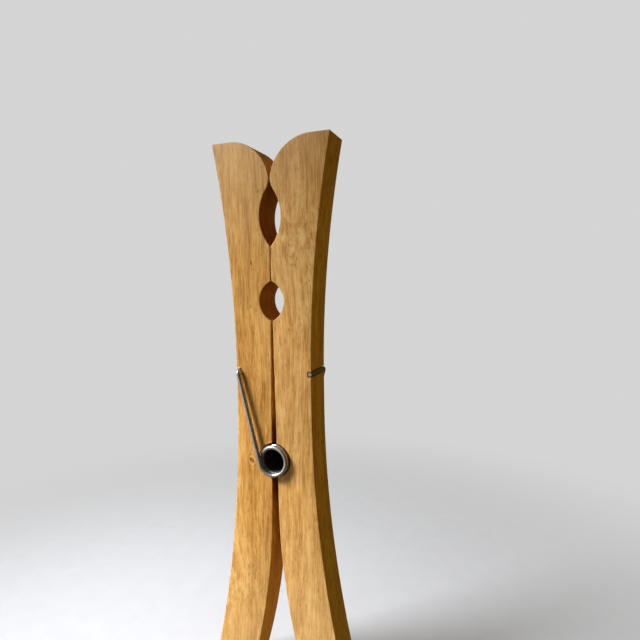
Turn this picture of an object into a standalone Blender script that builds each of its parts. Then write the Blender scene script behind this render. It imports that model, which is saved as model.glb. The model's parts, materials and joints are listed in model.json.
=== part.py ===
"""Giant wooden clothespin: two sawn hardwood arms held shut by one wire torsion spring.

Frame: +X to the right seen from the front, +Y towards the back, +Z up. The origin is on the
floor under the middle of the clothespin, which stands upright on its two leg ends.
The jaws swing about the spring's coil, an axis parallel to Y at PIVOT_HEIGHT.
"""
from math import acos, atan2, ceil, cos, pi, radians, sin, sqrt, tan, tau

import bmesh
import bpy
from mathutils import Vector

# Driving dimensions, in metres.
HEIGHT = 0.610               # leg ends to the flat of the jaws
ARM_DEPTH = 0.038            # thickness of the board that the arms are sawn from
SEAM = 0.0003                # gap between the arms where they rest on each other
EASED_EDGE = 0.0008          # small chamfer along the front and back outlines

# Outer edge: a short straight waist with a hollow arc above it and another below it.
WAIST_HALF_WIDTH = 0.04415
WAIST_BOTTOM = 0.333
WAIST_TOP = 0.363
SIDE_RADIUS = 1.310

# Jaw: a flat top, a round lobe, a blunt nose that nearly meets the other, and a hollow notch.
LOBE_RADIUS = 0.046
NOSE_CLEARANCE = 0.0007      # from the nose to the seam's mid plane
NOSE_RADIUS = 0.0205
NOSE_HEIGHT = 0.5692
NOTCH_RADIUS = 0.0476
NOTCH_CUSP_HEIGHT = 0.4995

# Lens-shaped lower hole.
LENS_RADIUS = 0.0228
LENS_HEIGHT = 0.4423
LENS_HALF_WIDTH = 0.0140

# Inner edge from the lower hole down: a slow straight taper, then the leg's hollow arc.
TAPER_TOP = 0.464
TAPER_SLOPE = 0.0148
LEG_ARC_TOP = 0.2146
LEG_RADIUS = 0.720

# Torsion spring.
PIVOT_HEIGHT = 0.2704
WIRE_DIAMETER = 0.00476
COIL_RADIUS = 0.015          # to the middle of the wire
COIL_HALF_LENGTH = 0.025     # from the middle of the board to the middle of the end turns
COIL_SEAT_RADIUS = 0.0184
FULL_TURNS = 9
HOOK_HEIGHT = 0.3667
HOOK_BEND_RADIUS = 0.0040

# Square groove sawn across each arm's outer edge for the spring's hook.
GROOVE_HEIGHT = 0.0062
LEFT_GROOVE_DEPTH = 0.0064
RIGHT_GROOVE_DEPTH = 0.0044
WIRE_CLEARANCE = 0.0003      # between the wire and the groove's floor
LEG_GAP = 0.0018             # between each spring leg and the face that it crosses

# Fineness.
ARC_STEP = radians(9)
LONG_ARC_STEP = 0.018
COIL_SEGMENTS_PER_TURN = 20

# Worked out from the driving dimensions.
HALF_DEPTH = ARM_DEPTH / 2
HALF_SEAM = SEAM / 2
WIRE_RADIUS = WIRE_DIAMETER / 2
HOOK_Y = HALF_DEPTH + LEG_GAP + WIRE_RADIUS
PIVOT = Vector((0.0, 0.0, PIVOT_HEIGHT))


def clear_scene():
    for item in list(bpy.data.objects):
        bpy.data.objects.remove(item, do_unlink=True)


def make_material(name, colour, roughness, metallic):
    material = bpy.data.materials.new(name)
    material.use_nodes = True
    shader = material.node_tree.nodes["Principled BSDF"]
    shader.inputs["Base Color"].default_value = (*colour, 1.0)
    shader.inputs["Roughness"].default_value = roughness
    shader.inputs["Metallic"].default_value = metallic
    material.diffuse_color = (*colour, 1.0)
    return material


def arc(centre, radius, start, end):
    """Points along an arc from one angle to another, both ends included."""
    steps = max(2, ceil(abs(end - start) / ARC_STEP))
    points = []
    for i in range(steps + 1):
        angle = start + (end - start) * i / steps
        points.append((centre[0] + radius * cos(angle), centre[1] + radius * sin(angle)))
    return points


def long_curve(width_at, bottom, top):
    """Points of a nearly straight edge, from the bottom up."""
    steps = ceil((top - bottom) / LONG_ARC_STEP)
    heights = [bottom + (top - bottom) * i / steps for i in range(steps + 1)]
    return [(width_at(z), z) for z in heights]


def hollow(radius, distance):
    """How far an arc has left its tangent at this distance along it."""
    return radius - sqrt(radius ** 2 - distance ** 2)


def outer_width(z):
    beyond_waist = max(WAIST_BOTTOM - z, z - WAIST_TOP, 0.0)
    return WAIST_HALF_WIDTH + hollow(SIDE_RADIUS, beyond_waist)


def inner_width(z):
    taper = TAPER_SLOPE * (TAPER_TOP - z)
    return HALF_SEAM + taper + hollow(LEG_RADIUS, max(LEG_ARC_TOP - z, 0.0))


def groove_depth(side):
    return RIGHT_GROOVE_DEPTH if side > 0 else LEFT_GROOVE_DEPTH


def outer_edge(side):
    """Up the outside of the right arm, with the groove that holds the spring's hook."""
    x = WAIST_HALF_WIDTH
    floor_x = x - groove_depth(side)
    low = HOOK_HEIGHT - GROOVE_HEIGHT / 2
    high = HOOK_HEIGHT + GROOVE_HEIGHT / 2
    points = long_curve(outer_width, 0.0, WAIST_BOTTOM)
    points += [(x, low), (floor_x, low), (floor_x, high), (x, high)]
    return points + long_curve(outer_width, high + GROOVE_HEIGHT / 2, HEIGHT)


def jaw_edge():
    """From the jaw's flat top round the lobe, the nose and the notch down to the seam."""
    nose = Vector((NOSE_CLEARANCE + NOSE_RADIUS, NOSE_HEIGHT))
    lobe_z = HEIGHT - LOBE_RADIUS
    lobe_reach = LOBE_RADIUS - NOSE_RADIUS
    lobe = Vector((nose.x + sqrt(lobe_reach ** 2 - (nose.y - lobe_z) ** 2), lobe_z))
    lobe_end = atan2(nose.y - lobe.y, nose.x - lobe.x)

    # The notch passes through its cusp on the seam and touches the nose from outside.
    cusp = Vector((HALF_SEAM, NOTCH_CUSP_HEIGHT))
    to_cusp = cusp - nose
    reach = NOSE_RADIUS + NOTCH_RADIUS
    along = (to_cusp.length_squared + reach ** 2 - NOTCH_RADIUS ** 2) / (2 * to_cusp.length)
    across = sqrt(reach ** 2 - along ** 2)
    direction = to_cusp.normalized()
    notch = nose + direction * along + Vector((direction.y, -direction.x)) * across
    nose_end = atan2(notch.y - nose.y, notch.x - nose.x) + tau
    cusp_angle = atan2(cusp.y - notch.y, cusp.x - notch.x)

    points = arc(lobe, LOBE_RADIUS, pi / 2, lobe_end)
    points += arc(nose, NOSE_RADIUS, lobe_end, nose_end)[1:]
    return points + arc(notch, NOTCH_RADIUS, nose_end - pi, cusp_angle)[1:]


def inner_edge():
    """Down the inside: the lower hole, the taper, the seat of the coil and the leg."""
    lens_x = LENS_HALF_WIDTH - LENS_RADIUS
    lens_bottom = LENS_HEIGHT - sqrt(LENS_RADIUS ** 2 - lens_x ** 2)
    top_angle = acos((HALF_SEAM - lens_x) / LENS_RADIUS)
    bottom_angle = acos((inner_width(lens_bottom) - lens_x) / LENS_RADIUS)
    points = arc((lens_x, LENS_HEIGHT), LENS_RADIUS, top_angle, -bottom_angle)

    seat_top = acos(inner_width(PIVOT_HEIGHT + COIL_SEAT_RADIUS) / COIL_SEAT_RADIUS)
    seat_bottom = acos(inner_width(PIVOT_HEIGHT - COIL_SEAT_RADIUS) / COIL_SEAT_RADIUS)
    points += arc((0.0, PIVOT_HEIGHT), COIL_SEAT_RADIUS, seat_top, -seat_bottom)

    leg = long_curve(inner_width, 0.0, LEG_ARC_TOP)
    return points + leg[::-1]


def arm_outline(side):
    """Outline of one arm seen from the front, anticlockwise: side is -1 left, +1 right."""
    points = outer_edge(side) + jaw_edge() + inner_edge()
    if side < 0:
        return [Vector((-x, z)) for x, z in reversed(points)]
    return [Vector((x, z)) for x, z in points]


def inset(outline, distance):
    """The same outline moved inwards, corner by corner."""
    moved = []
    for i, point in enumerate(outline):
        before = (point - outline[i - 1]).normalized()
        after = (outline[(i + 1) % len(outline)] - point).normalized()
        inwards = Vector((-before.y - after.y, before.x + after.x)).normalized()
        reach = distance / max(inwards.dot(Vector((-before.y, before.x))), 0.4)
        moved.append(point + inwards * reach)
    return moved


def add_object(name, data, material):
    """Every piece has its origin on the pivot, so its data is centred there."""
    item = bpy.data.objects.new(name, data)
    bpy.context.scene.collection.objects.link(item)
    data.materials.append(material)
    item.location = PIVOT
    return item


def add_arm(name, side, material):
    """A board of even thickness with both its face outlines eased."""
    outline = arm_outline(side)
    eased = inset(outline, EASED_EDGE)
    sections = (
        (eased, -HALF_DEPTH),
        (outline, -HALF_DEPTH + EASED_EDGE),
        (outline, HALF_DEPTH - EASED_EDGE),
        (eased, HALF_DEPTH),
    )
    bm = bmesh.new()
    rings = []
    for points, y in sections:
        rings.append([bm.verts.new(Vector((p.x, y, p.y)) - PIVOT) for p in points])
    bm.faces.new(rings[0])
    bm.faces.new(rings[-1][::-1])
    count = len(outline)
    for near, far in zip(rings, rings[1:]):
        for i in range(count):
            j = (i + 1) % count
            bm.faces.new((near[j], near[i], far[i], far[j]))
    mesh = bpy.data.meshes.new(name)
    bm.to_mesh(mesh)
    bm.free()
    return add_object(name, mesh, material)


def rounded_corner(before, corner, after, radius, steps=6):
    """Points of the arc that rounds a corner between two straight runs of wire."""
    back = (before - corner).normalized()
    ahead = (after - corner).normalized()
    half_angle = back.angle(ahead) / 2
    centre = corner + (back + ahead).normalized() * (radius / sin(half_angle))
    tangent_length = radius / tan(half_angle)
    start = (corner + back * tangent_length - centre).normalized()
    end = (corner + ahead * tangent_length - centre).normalized()
    return [centre + start.slerp(end, i / steps) * radius for i in range(steps + 1)]


def hook_x(side):
    """How far from the middle of the clothespin the wire lies in its groove."""
    return WAIST_HALF_WIDTH - groove_depth(side) + WIRE_CLEARANCE + WIRE_RADIUS


def leaving_angle(side):
    """Where the left leg leaves the coil seen from the front, or the right leg from the back."""
    rise = HOOK_HEIGHT - PIVOT_HEIGHT
    distance = sqrt(hook_x(side) ** 2 + rise ** 2)
    return atan2(rise, -hook_x(side)) + acos(COIL_RADIUS / distance)


def hook_points(side, tangent_point):
    """A spring leg from its cut end, through the groove and down to the coil."""
    corner = Vector((side * hook_x(side), side * HOOK_Y, HOOK_HEIGHT))
    cut_end = Vector((corner.x, -side * HALF_DEPTH, corner.z))
    bend = rounded_corner(cut_end, corner, tangent_point, HOOK_BEND_RADIUS)
    return [cut_end] + bend


def spring_points():
    """Centre line of the wire, from the left arm's hook to the right arm's hook."""
    first_angle = leaving_angle(-1)
    last_angle = pi - leaving_angle(1) + tau * (FULL_TURNS + 1)
    steps = ceil((last_angle - first_angle) / tau * COIL_SEGMENTS_PER_TURN)
    coil = []
    for i in range(steps + 1):
        share = i / steps
        angle = first_angle + (last_angle - first_angle) * share
        x = COIL_RADIUS * cos(angle)
        z = PIVOT_HEIGHT + COIL_RADIUS * sin(angle)
        coil.append(Vector((x, COIL_HALF_LENGTH * (2 * share - 1), z)))
    front = hook_points(-1, coil[0])
    back = hook_points(1, coil[-1])
    return front + coil + back[::-1]


def add_spring(name, material):
    """One round wire swept along the spring's centre line, in a tube of eight sides."""
    curve = bpy.data.curves.new(name, "CURVE")
    curve.dimensions = "3D"
    curve.bevel_depth = WIRE_RADIUS
    curve.bevel_resolution = 2
    curve.use_fill_caps = True
    points = spring_points()
    spline = curve.splines.new("POLY")
    spline.points.add(len(points) - 1)
    for target, point in zip(spline.points, points):
        target.co = (*(point - PIVOT), 1.0)
    return add_object(name, curve, material)


def build():
    clear_scene()
    left_wood = make_material("amber_hardwood", (0.56, 0.30, 0.095), 0.42, 0.0)
    right_wood = make_material("pale_hardwood", (0.58, 0.35, 0.135), 0.42, 0.0)
    steel = make_material("bright_spring_steel", (0.55, 0.54, 0.52), 0.28, 1.0)
    add_arm("left_arm", -1, left_wood)
    add_arm("right_arm", 1, right_wood)
    add_spring("torsion_spring", steel)


build()
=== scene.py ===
"""Looks of the giant wooden clothespin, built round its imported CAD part.

Frame, in metres: +X to the right seen from the front, +Y towards the back, +Z up, with the
floor at Z = 0. Two varnished hardwood arms, sawn from one board each, are gripped by a single
spring-steel wire whose coil sits between them.
"""
import json
from math import acos, atan2, ceil, cos, floor, pi, radians, sin, sqrt, tan, tau

import bmesh
import bpy
from mathutils import Matrix, Vector


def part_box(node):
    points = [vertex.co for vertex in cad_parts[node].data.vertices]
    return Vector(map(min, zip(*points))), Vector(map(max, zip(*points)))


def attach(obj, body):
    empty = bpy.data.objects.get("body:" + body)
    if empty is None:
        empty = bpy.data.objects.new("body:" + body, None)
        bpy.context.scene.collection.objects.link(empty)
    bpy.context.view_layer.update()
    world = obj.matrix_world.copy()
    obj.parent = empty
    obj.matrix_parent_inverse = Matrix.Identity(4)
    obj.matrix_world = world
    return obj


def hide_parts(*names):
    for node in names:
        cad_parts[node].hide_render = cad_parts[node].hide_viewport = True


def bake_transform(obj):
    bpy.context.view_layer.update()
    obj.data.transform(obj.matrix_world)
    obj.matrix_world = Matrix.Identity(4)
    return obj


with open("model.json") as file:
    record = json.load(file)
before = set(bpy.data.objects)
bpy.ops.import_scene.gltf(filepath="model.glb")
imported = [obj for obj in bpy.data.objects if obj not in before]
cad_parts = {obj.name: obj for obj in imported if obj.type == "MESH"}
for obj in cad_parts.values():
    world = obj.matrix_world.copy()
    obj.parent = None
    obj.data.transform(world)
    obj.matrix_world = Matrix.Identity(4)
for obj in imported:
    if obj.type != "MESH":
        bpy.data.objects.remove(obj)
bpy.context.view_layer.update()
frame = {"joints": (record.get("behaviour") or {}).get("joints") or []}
arm_low, arm_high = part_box("right_arm")

# Sizes that the frame gives.
HEIGHT = arm_high.z
HALF_DEPTH = arm_high.y
HALF_SEAM = arm_low.x
PIVOT_HEIGHT = frame["joints"][0]["pos_m"][2]

# Outline of an arm, the same as the CAD part's. The outer edge has a straight waist with a
# hollow arc above it and another below it.
WAIST_HALF_WIDTH = 0.04415
WAIST_BOTTOM = 0.333
WAIST_TOP = 0.363
SIDE_RADIUS = 1.310

# The jaw has a round lobe, a blunt nose and a hollow notch, which is half of the upper hole.
LOBE_RADIUS = 0.046
NOSE_CLEARANCE = 0.0007      # from the nose to the seam's mid plane
NOSE_RADIUS = 0.0205
NOSE_HEIGHT = 0.5692
NOTCH_RADIUS = 0.0476
NOTCH_CUSP_HEIGHT = 0.4995
UPPER_HOLE_HEIGHT = 0.531    # the middle of the upper hole

# Below it come the lens-shaped lower hole, a slow straight taper and the leg's hollow arc.
LENS_RADIUS = 0.0228
LENS_HEIGHT = 0.4423
LENS_HALF_WIDTH = 0.0140
TAPER_TOP = 0.464
TAPER_SLOPE = 0.0148
LEG_ARC_TOP = 0.2146
LEG_RADIUS = 0.720

# Rounding of the wood.
EASED_RADIUS = 0.0010        # front and back edges
CORNER_RADIUS = 0.0012       # outline's corners that stick out
HOLLOW_CORNER_RADIUS = 0.0004
GROOVE_EDGE_RADIUS = 0.0001
LEAST_CORNER = radians(22)   # a smaller turn of the outline is part of a curve

# Spring wire, and the square grooves that hold its hooks.
WIRE_RADIUS = 0.00238
WIRE_CHAMFER = 0.0004        # at each cut end
COIL_RADIUS = 0.015          # to the middle of the wire
COIL_HALF_LENGTH = 0.025     # from the middle of the board to the middle of the end turns
COIL_SEAT_RADIUS = 0.0184
FULL_TURNS = 9
HOOK_HEIGHT = 0.3667
HOOK_BEND_RADIUS = 0.0040
GROOVE_HEIGHT = 0.0062
LEFT_GROOVE_DEPTH = 0.0064
RIGHT_GROOVE_DEPTH = 0.0044
WIRE_CLEARANCE = 0.0003      # between the wire and the groove's floor
LEG_GAP = 0.0018             # between each spring leg and the face that it crosses
HOOK_Y = HALF_DEPTH + LEG_GAP + WIRE_RADIUS

# Studio. The light from around the object is a ramp from the side away from BRIGHT_SIDE, at 0,
# to BRIGHT_SIDE itself, at 1.
FLOOR_RADIUS = 1.0
FLOOR_DROP = 0.0004          # below the leg ends, so that the faces don't coincide
BRIGHT_SIDE = Vector((-0.86, -0.46, 0.20)).normalized()
SURROUNDINGS = [(0.0, (0.44, 0.325, 0.036)), (0.20, (0.185, 0.125, 0.014)),
                (0.45, (0.045, 0.034, 0.012)), (0.68, (0.18, 0.18, 0.18)),
                (1.0, (0.66, 0.68, 0.70))]
MIRRORED = [(0.0, (0.060, 0.040, 0.020)), (0.45, (0.045, 0.034, 0.022)),
            (0.70, (0.15, 0.15, 0.14)), (0.90, (0.55, 0.54, 0.51)), (1.0, (1.30, 1.27, 1.20))]
SEEN_BACKGROUND = (0.66, 0.66, 0.66, 1)
CAMERA_PLACE = (0.2293, -0.4710, 0.4646)
CAMERA_TO_THE_LEFT = radians(21.13)
CAMERA_DOWN = radians(4.83)
CAMERA_ROLL = radians(-0.71)
CAMERA_LENS = 27.0           # millimetres, on a sensor 36 mm wide

# Sizes of the marks in the wood along X, Y and Z. The grain runs along Z.
WANDER = (0.2, 0.2, 0.4)
SWIRL = (0.016, 0.016, 0.026)
BANDS = (0.012, 0.012, 0.20)
STREAKS = (0.0034, 0.0034, 0.045)
FIBRES = (0.0011, 0.0011, 0.024)
MOTTLE = (0.008, 0.008, 0.014)
LARGE_PORES = (0.0024, 0.0024, 0.012)
SMALL_PORES = (0.0011, 0.0011, 0.008)
PORE_CROWDS = (0.010, 0.010, 0.07)
KNOT = (0.011, 0.020, 0.020)
KNOT_EYE = (0.008, 0.020, 0.010)
KNOT_RING_WIDTH = 0.0036
# Reach of the painted shade round the two holes and the coil's seat.
HOLLOW_SHADE_REACH = (0.030, 0.060, 0.060)

# Colours that the wood is mixed with or multiplied by.
SHIMMER = (0.76, 0.49, 0.17, 1)
PORE = (0.42, 0.28, 0.16, 1)
SPECK = (0.30, 0.17, 0.08, 1)
END_GRAIN = (0.66, 0.50, 0.34, 1)
# Painted shade on the walls of the two holes and of the coil's seat.
HOLLOW_PAINTED_SHADE = (0.56, 0.36, 0.20, 1)
PALER_WOOD = (0.70, 0.47, 0.20, 1)
# Painted shade for the right arm's jaw.
JAW_PAINTED_SHADE = (0.29, 0.145, 0.022, 1)
# Paler colour of the rounded edges: partly sanding wear, partly a painted highlight.
WORN_EDGE_AND_HIGHLIGHT = (0.80, 0.50, 0.20, 1)
WORN_END_GRAIN = (0.40, 0.27, 0.16, 1)

# The two boards. The grain is wild in the patches of figure, each a centre and a size, and
# flows round the knots at (x, z). Specks on the front face are (x, z, half width, half height).
LEFT_WOOD = {
    "name": "amber_hardwood",
    "light": (0.70, 0.38, 0.104),
    "mid": (0.57, 0.272, 0.054),
    "dark": (0.38, 0.155, 0.025),
    "seed": 1.0,
    "jaw_tint_and_shade": PALER_WOOD,
    "jaw_heights": (0.48, 0.60),
    "figure": [((-0.055, -HALF_DEPTH, 0.130), (0.05, 0.03, 0.085))],
    "knots": [(-0.0278, 0.267)],
    "specks": [(-0.0230, 0.4830, 0.0013, 0.0034), (-0.0127, 0.5570, 0.0012, 0.0022),
               (-0.0295, 0.2684, 0.0018, 0.0015), (-0.0278, 0.2673, 0.0022, 0.0017),
               (-0.0260, 0.2660, 0.0018, 0.0015)],
}
RIGHT_WOOD = {
    "name": "pale_hardwood",
    "light": (0.70, 0.405, 0.136),
    "mid": (0.58, 0.298, 0.076),
    "dark": (0.41, 0.185, 0.037),
    "seed": 2.7,
    # The right jaw's tone is painted shade.
    "jaw_tint_and_shade": JAW_PAINTED_SHADE,
    "jaw_heights": (0.53, 0.58),
    "figure": [((0.032, -HALF_DEPTH, 0.505), (0.036, 0.03, 0.058))],
    "knots": [],
    "specks": [],
}

# Steel.
DULL_STEEL = (0.48, 0.45, 0.415)
BRIGHT_STEEL = (0.62, 0.585, 0.545)
# Painted shade for the inside of the coil.
COIL_PAINTED_SHADE = (0.006, 0.005, 0.004, 1)

# Fineness of the meshes.
ARC_STEP = radians(3)
LONG_STEP = 0.006
EASED_STEPS = 5
CORNER_STEPS = 5
BEND_STEPS = 12
WIRE_SPACING = 0.002
WIRE_SIDES = 24
TURN_STEPS = 72


# ---------------------------------------------------------------- outline of an arm

def arc(centre, radius, start, end):
    """Points along an arc from one angle to another, both ends included."""
    steps = max(3, ceil(abs(end - start) / ARC_STEP))
    points = []
    for i in range(steps + 1):
        angle = start + (end - start) * i / steps
        points.append(Vector((centre[0] + radius * cos(angle), centre[1] + radius * sin(angle))))
    return points


def long_curve(width_at, bottom, top):
    """Points of a nearly straight edge, from the bottom up."""
    steps = ceil((top - bottom) / LONG_STEP)
    heights = [bottom + (top - bottom) * i / steps for i in range(steps + 1)]
    return [Vector((width_at(z), z)) for z in heights]


def hollow(radius, distance):
    """How far an arc has left its tangent at this distance along it."""
    return radius - sqrt(radius ** 2 - distance ** 2)


def outer_width(z):
    """From the middle of the clothespin to the outer edge."""
    beyond_waist = max(WAIST_BOTTOM - z, z - WAIST_TOP, 0.0)
    return WAIST_HALF_WIDTH + hollow(SIDE_RADIUS, beyond_waist)


def inner_width(z):
    """From the middle of the clothespin to the inner edge, below the lower hole."""
    taper = TAPER_SLOPE * (TAPER_TOP - z)
    return HALF_SEAM + taper + hollow(LEG_RADIUS, max(LEG_ARC_TOP - z, 0.0))


def groove_depth(side):
    return RIGHT_GROOVE_DEPTH if side > 0 else LEFT_GROOVE_DEPTH


def outer_edge(side):
    """Up the outside of the right arm, with the square groove that holds the spring's hook."""
    x = WAIST_HALF_WIDTH
    floor_x = x - groove_depth(side)
    low = HOOK_HEIGHT - GROOVE_HEIGHT / 2
    high = HOOK_HEIGHT + GROOVE_HEIGHT / 2
    points = long_curve(outer_width, 0.0, WAIST_BOTTOM)
    points += [Vector(p) for p in ((x, low), (floor_x, low), (floor_x, high), (x, high))]
    return points + long_curve(outer_width, high + GROOVE_HEIGHT / 2, HEIGHT)


def jaw_edge():
    """From the jaw's flat top round the lobe, the nose and the notch down to the seam."""
    nose = Vector((NOSE_CLEARANCE + NOSE_RADIUS, NOSE_HEIGHT))
    lobe_z = HEIGHT - LOBE_RADIUS
    lobe_reach = LOBE_RADIUS - NOSE_RADIUS
    lobe = Vector((nose.x + sqrt(lobe_reach ** 2 - (nose.y - lobe_z) ** 2), lobe_z))
    lobe_end = atan2(nose.y - lobe.y, nose.x - lobe.x)

    # The notch passes through its cusp on the seam and touches the nose from outside.
    cusp = Vector((HALF_SEAM, NOTCH_CUSP_HEIGHT))
    to_cusp = cusp - nose
    reach = NOSE_RADIUS + NOTCH_RADIUS
    along = (to_cusp.length_squared + reach ** 2 - NOTCH_RADIUS ** 2) / (2 * to_cusp.length)
    across = sqrt(reach ** 2 - along ** 2)
    direction = to_cusp.normalized()
    notch = nose + direction * along + Vector((direction.y, -direction.x)) * across
    nose_end = atan2(notch.y - nose.y, notch.x - nose.x) + tau
    cusp_angle = atan2(cusp.y - notch.y, cusp.x - notch.x)

    points = arc(lobe, LOBE_RADIUS, pi / 2, lobe_end)
    points += arc(nose, NOSE_RADIUS, lobe_end, nose_end)[1:]
    return points + arc(notch, NOTCH_RADIUS, nose_end - pi, cusp_angle)[1:]


def inner_edge():
    """Down the inside: the lower hole, the taper, the seat of the coil and the leg."""
    lens_x = LENS_HALF_WIDTH - LENS_RADIUS
    lens_bottom = LENS_HEIGHT - sqrt(LENS_RADIUS ** 2 - lens_x ** 2)
    top_angle = acos((HALF_SEAM - lens_x) / LENS_RADIUS)
    bottom_angle = acos((inner_width(lens_bottom) - lens_x) / LENS_RADIUS)
    points = arc((lens_x, LENS_HEIGHT), LENS_RADIUS, top_angle, -bottom_angle)

    seat_top = acos(inner_width(PIVOT_HEIGHT + COIL_SEAT_RADIUS) / COIL_SEAT_RADIUS)
    seat_bottom = acos(inner_width(PIVOT_HEIGHT - COIL_SEAT_RADIUS) / COIL_SEAT_RADIUS)
    points += arc((0.0, PIVOT_HEIGHT), COIL_SEAT_RADIUS, seat_top, -seat_bottom)

    leg = long_curve(inner_width, 0.0, LEG_ARC_TOP)
    return points + leg[::-1]


def rounded_corner(before, corner, after, radius, steps):
    """Points of the arc that rounds a corner between two straight runs."""
    back = (before - corner).normalized()
    ahead = (after - corner).normalized()
    half_angle = back.angle(ahead) / 2
    centre = corner + (back + ahead).normalized() * (radius / sin(half_angle))
    tangent_length = radius / tan(half_angle)
    start = (corner + back * tangent_length - centre).normalized()
    end = (corner + ahead * tangent_length - centre).normalized()
    return [centre + start.slerp(end, i / steps) * radius for i in range(steps + 1)]


def soften_corners(points):
    """Round the outline's corners, hollow ones less, and keep everything else."""
    radii, reaches = {}, {}
    for i, corner in enumerate(points):
        before = corner - points[i - 1]
        ahead = points[(i + 1) % len(points)] - corner
        turn = before.angle(ahead)
        if turn > LEAST_CORNER:
            radii[i] = CORNER_RADIUS if before.cross(ahead) > 0 else HOLLOW_CORNER_RADIUS
            reaches[i] = radii[i] * tan(turn / 2)
    softened = []
    for i, point in enumerate(points):
        if i in radii:
            after = points[(i + 1) % len(points)]
            softened += rounded_corner(points[i - 1], point, after, radii[i], CORNER_STEPS)
        elif all((point - points[c]).length > reach for c, reach in reaches.items()):
            softened.append(point)
    return softened


def arm_outline(side):
    """Outline of one arm seen from the front, anticlockwise: side is -1 left, +1 right."""
    points = soften_corners(outer_edge(side) + jaw_edge() + inner_edge())
    if side < 0:
        return [Vector((-p.x, p.y)) for p in reversed(points)]
    return points


def edge_radius(point):
    """The long edges are rounded by sanding; the groove was sawn afterwards, so it is crisp."""
    in_groove = abs(point.y - HOOK_HEIGHT) < GROOVE_HEIGHT / 2 + CORNER_RADIUS
    if in_groove and abs(point.x) > WAIST_HALF_WIDTH / 2:
        return GROOVE_EDGE_RADIUS
    return EASED_RADIUS


def inset(outline, share):
    """The same outline moved inwards by a share of each point's edge radius."""
    moved = []
    for i, point in enumerate(outline):
        before = (point - outline[i - 1]).normalized()
        after = (outline[(i + 1) % len(outline)] - point).normalized()
        inwards = Vector((-before.y - after.y, before.x + after.x)).normalized()
        reach = share * edge_radius(point) / max(inwards.dot(Vector((-before.y, before.x))), 0.5)
        moved.append(point + inwards * reach)
    return moved


# ---------------------------------------------------------------- meshes

def add_mesh(name, bm, material):
    mesh = bpy.data.meshes.new(name)
    bm.to_mesh(mesh)
    bm.free()
    mesh.materials.append(material)
    item = bpy.data.objects.new(name, mesh)
    bpy.context.scene.collection.objects.link(item)
    return item


def arm_sections(outline):
    """Outlines from the front face to the back face, rounding both edges.

    Each is (points, y, edge), where edge falls from 1 on a face to 0 on the wall between them.
    """
    front = []
    for i in range(EASED_STEPS + 1):
        angle = pi / 2 * i / EASED_STEPS
        ring = inset(outline, 1 - sin(angle))
        front.append((ring, -HALF_DEPTH + EASED_RADIUS * (1 - cos(angle)), 1 - i / EASED_STEPS))
    return front + [(ring, -y, edge) for ring, y, edge in reversed(front)]


def add_arm(name, side, material):
    """One arm: flat faces, rounded edges, and an attribute that marks the rounded edges for their
    wear and painted highlight.
    """
    bm = bmesh.new()
    worn_and_highlit = bm.verts.layers.float.new("edge_wear_and_highlight")
    rings = []
    for points, y, edge in arm_sections(arm_outline(side)):
        ring = [bm.verts.new((p.x, y, p.y)) for p in points]
        for vertex in ring:
            vertex[worn_and_highlit] = sin(pi * edge)
        rings.append(ring)
    bm.faces.new(rings[0])
    bm.faces.new(rings[-1][::-1])
    count = len(rings[0])
    for near, far in zip(rings, rings[1:]):
        for i in range(count):
            j = (i + 1) % count
            wall = bm.faces.new((near[j], near[i], far[i], far[j]))
            wall.smooth = True
    arm = add_mesh(name, bm, material)
    arm.data.set_sharp_from_angle(angle=radians(35))
    return arm


def straight(start, end):
    """Points strictly between two ends of a straight run of wire."""
    steps = max(1, floor((end - start).length / WIRE_SPACING))
    return [start.lerp(end, i / steps) for i in range(1, steps)]


def hook_x(side):
    """How far from the middle of the clothespin the wire lies in its groove."""
    return WAIST_HALF_WIDTH - groove_depth(side) + WIRE_CLEARANCE + WIRE_RADIUS


def leaving_angle(side):
    """Where the left leg leaves the coil seen from the front, or the right leg from the back."""
    rise = HOOK_HEIGHT - PIVOT_HEIGHT
    distance = sqrt(hook_x(side) ** 2 + rise ** 2)
    return atan2(rise, -hook_x(side)) + acos(COIL_RADIUS / distance)


def hook_points(side, tangent_point):
    """A spring leg from its cut end, through the groove and down to the coil."""
    corner = Vector((side * hook_x(side), side * HOOK_Y, HOOK_HEIGHT))
    cut_end = Vector((corner.x, -side * HALF_DEPTH, corner.z))
    bend = rounded_corner(cut_end, corner, tangent_point, HOOK_BEND_RADIUS, BEND_STEPS)
    run = straight(bend[-1], tangent_point)
    return [cut_end] + straight(cut_end, bend[0]) + bend + run


def ease_kink(points, index, span=5, passes=3):
    """Turn the slight kink where a leg meets the coil into a smooth change of slope."""
    for _ in range(passes):
        heights = [p.y for p in points]
        for i in range(index - span, index + span + 1):
            points[i].y = (heights[i - 1] + 2 * heights[i] + heights[i + 1]) / 4


def spring_points():
    """Centre line of the wire, from the left arm's hook to the right arm's hook."""
    first_angle = leaving_angle(-1)
    last_angle = pi - leaving_angle(1) + tau * (FULL_TURNS + 1)
    steps = ceil((last_angle - first_angle) / tau * TURN_STEPS)
    coil = []
    for i in range(steps + 1):
        share = i / steps
        angle = first_angle + (last_angle - first_angle) * share
        x = COIL_RADIUS * cos(angle)
        z = PIVOT_HEIGHT + COIL_RADIUS * sin(angle)
        coil.append(Vector((x, COIL_HALF_LENGTH * (2 * share - 1), z)))
    front = hook_points(-1, coil[0])
    back = hook_points(1, coil[-1])
    points = front + coil + back[::-1]
    ease_kink(points, len(front))
    ease_kink(points, len(front) + len(coil) - 1)
    return points


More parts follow.
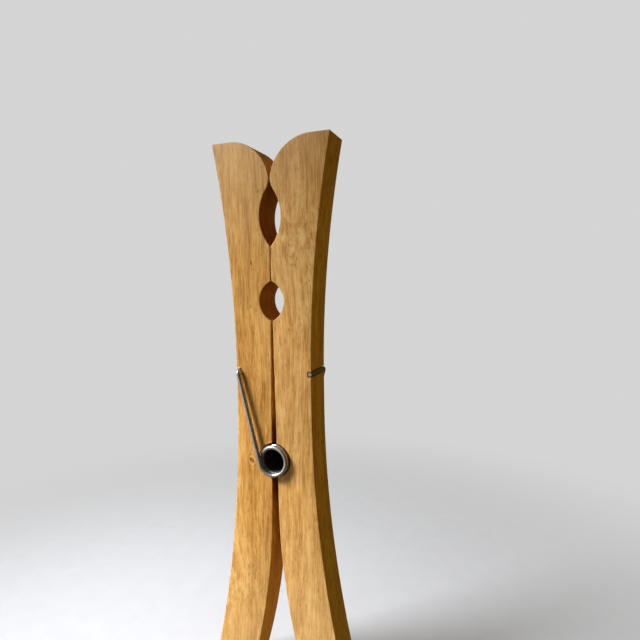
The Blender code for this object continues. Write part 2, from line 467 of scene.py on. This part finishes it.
def add_wire(name, points, material):
    """A round wire along the points, with chamfered cut ends and UVs in metres along it."""
    tangents = []
    for i in range(len(points)):
        ahead = points[min(i + 1, len(points) - 1)]
        behind = points[max(i - 1, 0)]
        tangents.append((ahead - behind).normalized())
    normal = tangents[0].orthogonal().normalized()
    frames = []
    for tangent in tangents:
        normal = (normal - tangent * normal.dot(tangent)).normalized()
        frames.append((normal, tangent.cross(normal)))

    # The first and last rings are smaller, and the ones beside them step back by the chamfer.
    cut_scale = 1 - WIRE_CHAMFER / WIRE_RADIUS
    full_start = points[0] + tangents[0] * WIRE_CHAMFER
    full_end = points[-1] - tangents[-1] * WIRE_CHAMFER
    stations = [(points[0], frames[0], cut_scale)]
    for place, sides in zip([full_start] + points[1:-1] + [full_end], frames):
        stations.append((place, sides, 1.0))
    stations.append((points[-1], frames[-1], cut_scale))

    bm = bmesh.new()
    uv = bm.loops.layers.uv.new("along_wire")
    rings, lengths, travelled = [], [], 0.0
    for i, (place, (across, up), scale) in enumerate(stations):
        if i:
            travelled += (place - stations[i - 1][0]).length
        lengths.append(travelled)
        ring = []
        for k in range(WIRE_SIDES):
            angle = tau * k / WIRE_SIDES
            offset = across * cos(angle) + up * sin(angle)
            ring.append(bm.verts.new(place + offset * WIRE_RADIUS * scale))
        rings.append(ring)
    circumference = tau * WIRE_RADIUS
    for i in range(len(rings) - 1):
        for k in range(WIRE_SIDES):
            j = (k + 1) % WIRE_SIDES
            face = bm.faces.new((rings[i][k], rings[i][j], rings[i + 1][j], rings[i + 1][k]))
            face.smooth = True
            around = (k, k + 1, k + 1, k)
            along = (lengths[i], lengths[i], lengths[i + 1], lengths[i + 1])
            for loop, a, s in zip(face.loops, around, along):
                loop[uv].uv = (a / WIRE_SIDES * circumference, s)
    bm.faces.new(rings[0][::-1])
    bm.faces.new(rings[-1])
    wire = add_mesh(name, bm, material)
    wire.data.set_sharp_from_angle(angle=radians(40))
    return wire


# ---------------------------------------------------------------- materials

class Shader:
    """A node tree and short ways to add and link its nodes."""

    def __init__(self, tree):
        self.tree = tree

    def put(self, socket, value):
        if isinstance(value, bpy.types.NodeSocket):
            self.tree.links.new(value, socket)
        else:
            socket.default_value = value

    def node(self, kind, inputs=None, **settings):
        made = self.tree.nodes.new("ShaderNode" + kind)
        for key, value in settings.items():
            setattr(made, key, value)
        for key, value in (inputs or {}).items():
            self.put(made.inputs[key], value)
        return made

    def math(self, operation, a, b=0.0):
        return self.node("Math", {0: a, 1: b}, operation=operation).outputs[0]

    def total(self, *weighted):
        """Sum of value * weight pairs."""
        result = 0.0
        for value, weight in weighted:
            result = self.math("ADD", result, self.math("MULTIPLY", value, weight))
        return result

    def vector(self, operation, a, b):
        return self.node("VectorMath", {0: a, 1: b}, operation=operation).outputs[0]

    def distance(self, a, b):
        return self.node("VectorMath", {0: a, 1: b}, operation="DISTANCE").outputs["Value"]

    def noise(self, place, size, detail=2.0, roughness=0.5, output="Fac"):
        """Noise whose blots are about as big as size, in metres along X, Y and Z."""
        scaled = self.vector("MULTIPLY", place, tuple(1 / length for length in size))
        inputs = {"Vector": scaled, "Scale": 1.0, "Detail": detail, "Roughness": roughness}
        return self.node("TexNoise", inputs).outputs[output]

    def dashes(self, place, size, thin):
        """Short dark marks, one in each cell of this size, the marks thinner as thin falls."""
        scaled = self.vector("MULTIPLY", place, tuple(1 / length for length in size))
        cells = self.node("TexVoronoi", {"Vector": scaled, "Scale": 1.0})
        return self.ramp(cells.outputs["Distance"], [(thin * 0.35, 1.0), (thin, 0.0)])

    def ramp(self, value, stops):
        """A colour or grey ramp; a stop is (position, (r, g, b)) or (position, grey)."""
        made = self.node("ValToRGB", {"Fac": value})
        elements = made.color_ramp.elements
        while len(elements) < len(stops):
            elements.new(0.5)
        for element, (position, colour) in zip(elements, stops):
            rgb = colour if isinstance(colour, tuple) else (colour,) * 3
            element.position = position
            element.color = (*rgb, 1.0)
        return made.outputs["Color"]

    def spot(self, place, centre, size):
        """1 at the centre, falling to 0 at this size from it, in metres along X, Y and Z."""
        off = self.vector("SUBTRACT", place, centre)
        off = self.vector("MULTIPLY", off, tuple(1 / length for length in size))
        return self.ramp(self.distance(off, (0, 0, 0)), [(0.0, 1.0), (1.0, 0.0)])

    def fall(self, value, start, end, **settings):
        """1 up to the start, falling to 0 at the end."""
        inputs = {"Value": value, "From Min": start, "From Max": end, "To Min": 1.0, "To Max": 0.0}
        return self.node("MapRange", inputs, **settings).outputs[0]

    def mix(self, blend, amount, under, over):
        made = self.node("Mix", {0: amount, 6: under, 7: over}, data_type="RGBA", blend_type=blend)
        return made.outputs[2]


def new_material(name):
    material = bpy.data.materials.new(name)
    material.use_nodes = True
    return material, Shader(material.node_tree), material.node_tree.nodes["Principled BSDF"]


def noise_offset(s, place, size, reach):
    """A smooth random shift in X and Y, up to about half of reach either way."""
    centred = s.vector("SUBTRACT", s.noise(place, size, output="Color"), (0.5, 0.5, 0.5))
    return s.vector("MULTIPLY", centred, (reach, reach, 0))


def wandering_grain(s, place, seed, figure):
    """Where the grain's patterns are looked up, and how wild the grain is, from 0 to 1.

    The fibres wander a little on their way up, and swirl in the figured patches. The seed picks
    another part of the pattern for each board.
    """
    shifted = s.vector("ADD", place, (seed * 0.37, seed * 0.11, seed * 0.23))
    grain = s.vector("ADD", shifted, noise_offset(s, shifted, WANDER, 0.045))
    wildness = 0.08
    for centre, size in figure:
        wildness = s.math("MAXIMUM", wildness, s.spot(place, centre, size))
    swirl = noise_offset(s, shifted, SWIRL, 0.020)
    return s.vector("ADD", grain, s.vector("MULTIPLY", swirl, wildness)), wildness


def knot_rings(s, place, centre):
    """The rings of an eye in the grain, +1 to -1, that fade out away from its centre."""
    off = s.vector("MULTIPLY", s.vector("SUBTRACT", place, centre), (1.0, 0.4, 0.75))
    away = s.distance(off, (0, 0, 0))
    wave = s.math("COSINE", s.math("MULTIPLY", away, tau / KNOT_RING_WIDTH))
    return s.math("MULTIPLY", wave, s.spot(place, centre, KNOT_EYE))


def grain_round_knots(s, place, grain, knots):
    """The grain pushed aside round each knot, and the rings of all the knots' eyes."""
    eyes = 0.0
    for x, z in knots:
        centre = (x, -HALF_DEPTH, z)
        push = s.vector("MULTIPLY", s.vector("SUBTRACT", place, centre), (0.8, 0.5, 0))
        grain = s.vector("SUBTRACT", grain, s.vector("MULTIPLY", push, s.spot(place, centre, KNOT)))
        eyes = s.math("ADD", eyes, knot_rings(s, place, centre))
    return grain, eyes


def pore_marks(s, grain):
    """Open pores: short dashes along the grain, in crowds."""
    large = s.dashes(grain, LARGE_PORES, 0.24)
    small = s.dashes(grain, SMALL_PORES, 0.30)
    crowd = s.ramp(s.noise(grain, PORE_CROWDS), [(0.35, 0.25), (0.60, 1.0)])
    return s.math("MULTIPLY", s.math("MAXIMUM", large, s.math("MULTIPLY", small, 0.60)), crowd)


def add_specks(s, place, colour, specks):
    """Small dark flecks on the front face."""
    for x, z, half_width, half_height in specks:
        fleck = s.spot(place, (x, -HALF_DEPTH, z), (half_width, 0.004, half_height))
        colour = s.mix("MULTIPLY", s.ramp(fleck, [(0.0, 0.0), (0.5, 0.85)]), colour, SPECK)
    return colour


def painted_hollow_shade(s, place, facing):
    """How much painted shade darkens the sawn walls of the two holes and of the coil's seat, 0 to 1.
    """
    wall = s.ramp(s.math("ABSOLUTE", facing.outputs["Y"]), [(0.2, 1.0), (0.8, 0.0)])
    hollows = 0.0
    for z, depth in ((UPPER_HOLE_HEIGHT, 1.0), (LENS_HEIGHT, 0.5), (PIVOT_HEIGHT, 1.0)):
        near = s.spot(place, (0, 0, z), HOLLOW_SHADE_REACH)
        hollows = s.math("MAXIMUM", hollows, s.ramp(near, [(0.1, 0.0), (0.35, depth)]))
    return s.math("MULTIPLY", hollows, wall)


def wood_material(name, light, mid, dark, seed, jaw_tint_and_shade, jaw_heights, figure, knots, specks):
    """Varnished straight-grained hardwood with the grain along Z.

    The pattern is solid: bands, streaks and pores are worked out in three dimensions, so the
    end grain of the jaws, holes and feet shows dots and bands where the faces show dashes.
    Between jaw_heights the jaw turns more and more to its tone: paler on the left arm, and on the
    right arm painted shade.
    """
    material, s, surface = new_material(name)
    place = s.node("TexCoord").outputs["Object"]
    grain, wildness = wandering_grain(s, place, seed, figure)
    grain, eyes = grain_round_knots(s, place, grain, knots)

    # Broad bands of growth, streaks, fine fibres and a blotchy mottle.
    bands = s.noise(grain, BANDS, detail=2.0)
    streaks = s.noise(grain, STREAKS, detail=2.0, roughness=0.6)
    fibres = s.noise(grain, FIBRES, detail=2.0, roughness=0.65)
    mottle = s.noise(grain, MOTTLE, detail=3.0, roughness=0.6)
    flame = s.math("MULTIPLY", s.math("SUBTRACT", mottle, 0.5), wildness)
    tone = s.total((bands, 0.20), (streaks, 0.34), (fibres, 0.36), (mottle, 0.10), (flame, 0.15),
                   (eyes, 0.13))
    colour = s.ramp(tone, [(0.405, dark), (0.50, mid), (0.595, light)])

    # The wild grain shimmers where its fibres lean towards the light.
    shimmer = s.math("MULTIPLY", s.ramp(mottle, [(0.46, 0.0), (0.62, 0.5)]), wildness)
    colour = s.mix("MIX", shimmer, colour, SHIMMER)

    pore = pore_marks(s, grain)
    colour = s.mix("MULTIPLY", s.math("MULTIPLY", pore, 0.85), colour, PORE)
    colour = add_specks(s, place, colour, specks)

    # End grain drinks the varnish and turns browner; the walls of the holes and of the coil's seat
    # get painted shade.
    facing = s.node("SeparateXYZ", {0: s.node("TexCoord").outputs["Normal"]})
    end_grain = s.ramp(s.math("ABSOLUTE", facing.outputs["Z"]), [(0.35, 0.0), (0.95, 1.0)])
    colour = s.mix("MULTIPLY", s.math("MULTIPLY", end_grain, 0.6), colour, END_GRAIN)
    colour = s.mix("MULTIPLY", painted_hollow_shade(s, place, facing), colour, HOLLOW_PAINTED_SHADE)

    # Both leg ends are mixed towards a paler tone, and so is the left arm's jaw. The right arm's jaw
    # is darkened with painted shade.
    height = s.node("SeparateXYZ", {0: place}).outputs["Z"]
    foot = s.ramp(height, [(0.0, 0.38), (0.20, 0.0)])
    colour = s.mix("MIX", foot, colour, PALER_WOOD)
    jaw = s.ramp(height, [(jaw_heights[0], 0.0), (jaw_heights[1], 0.32)])
    colour = s.mix("MIX", jaw, colour, jaw_tint_and_shade)

    # Handled edges are sanded a little paler, which also paints a highlight along them; across the
    # end grain they have darkened.
    worn_and_highlit = s.node("Attribute", attribute_name="edge_wear_and_highlight").outputs["Fac"]
    colour = s.mix("MIX", s.math("MULTIPLY", worn_and_highlit, 0.16), colour, WORN_EDGE_AND_HIGHLIGHT)
    colour = s.mix("MULTIPLY", s.math("MULTIPLY", worn_and_highlit, end_grain), colour, WORN_END_GRAIN)
    s.put(surface.inputs["Base Color"], colour)

    rough = s.total((streaks, 0.16), (pore, 0.18))
    s.put(surface.inputs["Roughness"], s.math("ADD", rough, 0.42))
    surface.inputs["Specular IOR Level"].default_value = 0.20

    relief = s.total((fibres, 0.25), (streaks, 0.35), (pore, -0.8))
    bump = s.node("Bump", {"Height": relief, "Strength": 0.25, "Distance": 0.0006})
    s.put(surface.inputs["Normal"], bump.outputs[0])
    return material


def steel_material(name):
    """Drawn spring wire: grey, with fine lines along its length and an uneven polish."""
    material, s, surface = new_material(name)
    along = s.node("UVMap", uv_map="along_wire").outputs[0]
    lines = s.noise(along, (0.0002, 0.017, 1))
    place = s.node("TexCoord").outputs["Object"]
    blotches = s.noise(place, (0.007, 0.007, 0.007), detail=3.0)
    colour = s.ramp(blotches, [(0.3, DULL_STEEL), (0.7, BRIGHT_STEEL)])

    # The inside of the coil, away from the end turns, is painted near black as shade, and is rougher
    # and less metallic there.
    axis = s.vector("MULTIPLY", s.vector("SUBTRACT", place, (0, 0, PIVOT_HEIGHT)), (1, 0, 1))
    radius = s.distance(axis, (0, 0, 0))
    inside = s.fall(radius, COIL_RADIUS - 0.7 * WIRE_RADIUS, COIL_RADIUS)
    depth = s.math("ABSOLUTE", s.node("SeparateXYZ", {0: place}).outputs["Y"])
    hidden = s.fall(depth, COIL_HALF_LENGTH - 2.6 * WIRE_RADIUS, COIL_HALF_LENGTH - 0.6 * WIRE_RADIUS)
    coil_shade = s.math("MULTIPLY", inside, hidden)
    colour = s.mix("MIX", coil_shade, colour, COIL_PAINTED_SHADE)
    s.put(surface.inputs["Base Color"], colour)
    s.put(surface.inputs["Metallic"], s.math("MULTIPLY", s.math("SUBTRACT", 1.0, coil_shade), 0.96))
    rough = s.total((lines, 0.12), (blotches, 0.10), (coil_shade, 0.40))
    s.put(surface.inputs["Roughness"], s.math("ADD", rough, 0.14))
    surface.inputs["Specular IOR Level"].default_value = 0.10
    bump = s.node("Bump", {"Height": lines, "Strength": 0.12, "Distance": 0.0001})
    s.put(surface.inputs["Normal"], bump.outputs[0])
    return material


# ---------------------------------------------------------------- stage, lights and camera

def add_floor():
    """A pale floor that fades out into the plain background.

    It isn't mirrored and throws no light back at the object.
    """
    bm = bmesh.new()
    bmesh.ops.create_circle(bm, cap_ends=True, segments=96, radius=FLOOR_RADIUS)
    for vertex in bm.verts:
        vertex.co.z = -FLOOR_DROP
    material, s, surface = new_material("pale_floor")
    place = s.node("TexCoord").outputs["Object"]
    mottle = s.noise(place, (0.025, 0.025, 0.025), detail=3.0)
    s.put(surface.inputs["Base Color"], s.ramp(mottle, [(0.2, 0.30), (0.8, 0.33)]))
    surface.inputs["Emission Color"].default_value = (1, 1, 1, 1)
    camera_ray = s.node("LightPath").outputs["Is Camera Ray"]
    s.put(surface.inputs["Emission Strength"], s.math("MULTIPLY", camera_ray, 0.20))
    surface.inputs["Roughness"].default_value = 0.85
    surface.inputs["Specular IOR Level"].default_value = 0.2
    away = s.distance(place, (0, 0, 0))
    shown = s.fall(away, 0.15, FLOOR_RADIUS * 0.95, interpolation_type="SMOOTHSTEP")
    s.put(surface.inputs["Alpha"], shown)
    ground = add_mesh("floor", bm, material)
    ground.visible_glossy = False
    ground.visible_diffuse = False


def add_area_light(name, place, target, width, height, watts, spread, colour, mirrored):
    """A rectangular light that the camera doesn't see, with its spread in degrees."""
    light = bpy.data.lights.new(name, "AREA")
    light.shape = "RECTANGLE"
    light.size = width
    light.size_y = height
    light.energy = watts
    light.spread = radians(spread)
    light.color = colour
    item = bpy.data.objects.new(name, light)
    item.location = place
    item.rotation_euler = (Vector(target) - Vector(place)).to_track_quat("-Z", "Y").to_euler()
    item.visible_camera = False
    item.visible_glossy = mirrored
    bpy.context.scene.collection.objects.link(item)


def add_lights():
    """A cool light high up in front on the left, and a dim one less high behind on the left."""
    add_area_light("main_light", place=(-1.47, -1.03, 1.52), target=(0, 0, -0.42), width=0.7,
                   height=0.8, watts=12.0, spread=46, colour=(0.97, 1.0, 1.09), mirrored=True)
    add_area_light("back_fill", place=(-1.50, 1.15, 0.80), target=(0, 0, 0.32), width=0.6,
                   height=0.8, watts=2.2, spread=40, colour=(1.0, 1.0, 1.0), mirrored=False)


def set_world():
    """Soft light: bright from the left, dim and warm from the right; plain where it shows.

    Gloss mirrors a darker right side than the one that lights the wood.
    """
    world = bpy.data.worlds.new("studio")
    bpy.context.scene.world = world
    world.use_nodes = True
    s = Shader(world.node_tree)
    direction = s.node("TexCoord").outputs["Generated"]
    towards = s.node("VectorMath", {0: direction, 1: BRIGHT_SIDE}, operation="DOT_PRODUCT")
    facing = s.math("MULTIPLY", s.math("ADD", towards.outputs["Value"], 1.0), 0.5)
    path = s.node("LightPath").outputs
    lit = s.ramp(facing, SURROUNDINGS)
    mirrored = s.ramp(facing, MIRRORED)
    lighting = world.node_tree.nodes["Background"]
    s.put(lighting.inputs["Color"], s.mix("MIX", path["Is Glossy Ray"], lit, mirrored))
    seen = s.node("Background", {"Color": SEEN_BACKGROUND})
    shown = s.node("MixShader", {0: path["Is Camera Ray"], 1: lighting.outputs[0],
                                 2: seen.outputs[0]})
    s.put(world.node_tree.nodes["World Output"].inputs["Surface"], shown.outputs[0])


def add_camera():
    """In front, to the right and level with the seam, looking to the left and a little down."""
    camera = bpy.data.cameras.new("camera")
    camera.sensor_width = 36.0
    camera.lens = CAMERA_LENS
    item = bpy.data.objects.new("camera", camera)
    bpy.context.scene.collection.objects.link(item)
    yaw = Matrix.Rotation(CAMERA_TO_THE_LEFT, 4, "Z")
    tilt = Matrix.Rotation(radians(90) - CAMERA_DOWN, 4, "X")
    roll = Matrix.Rotation(CAMERA_ROLL, 4, "Z")
    item.matrix_world = Matrix.Translation(CAMERA_PLACE) @ yaw @ tilt @ roll
    bpy.context.scene.camera = item


# ---------------------------------------------------------------- the object

def build():
    for name, side, wood, slot in (("left_arm", -1, LEFT_WOOD, "amber_wood"),
                                   ("right_arm", 1, RIGHT_WOOD, "pale_wood")):
        arm = add_arm(name + "_wood", side, wood_material(**wood))
        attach(arm, name)
        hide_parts(name)

    # The coil's front left turns with the left arm, and its back right with the right arm; here the
    # wire is one piece, baked in place and attached to neither arm.
    spring = add_wire("spring_wire", spring_points(), steel_material("bright_spring_steel"))
    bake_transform(spring)
    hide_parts("torsion_spring")


build()
add_floor()
set_world()
add_lights()
bpy.context.scene.view_settings.view_transform = "Standard"
add_camera()
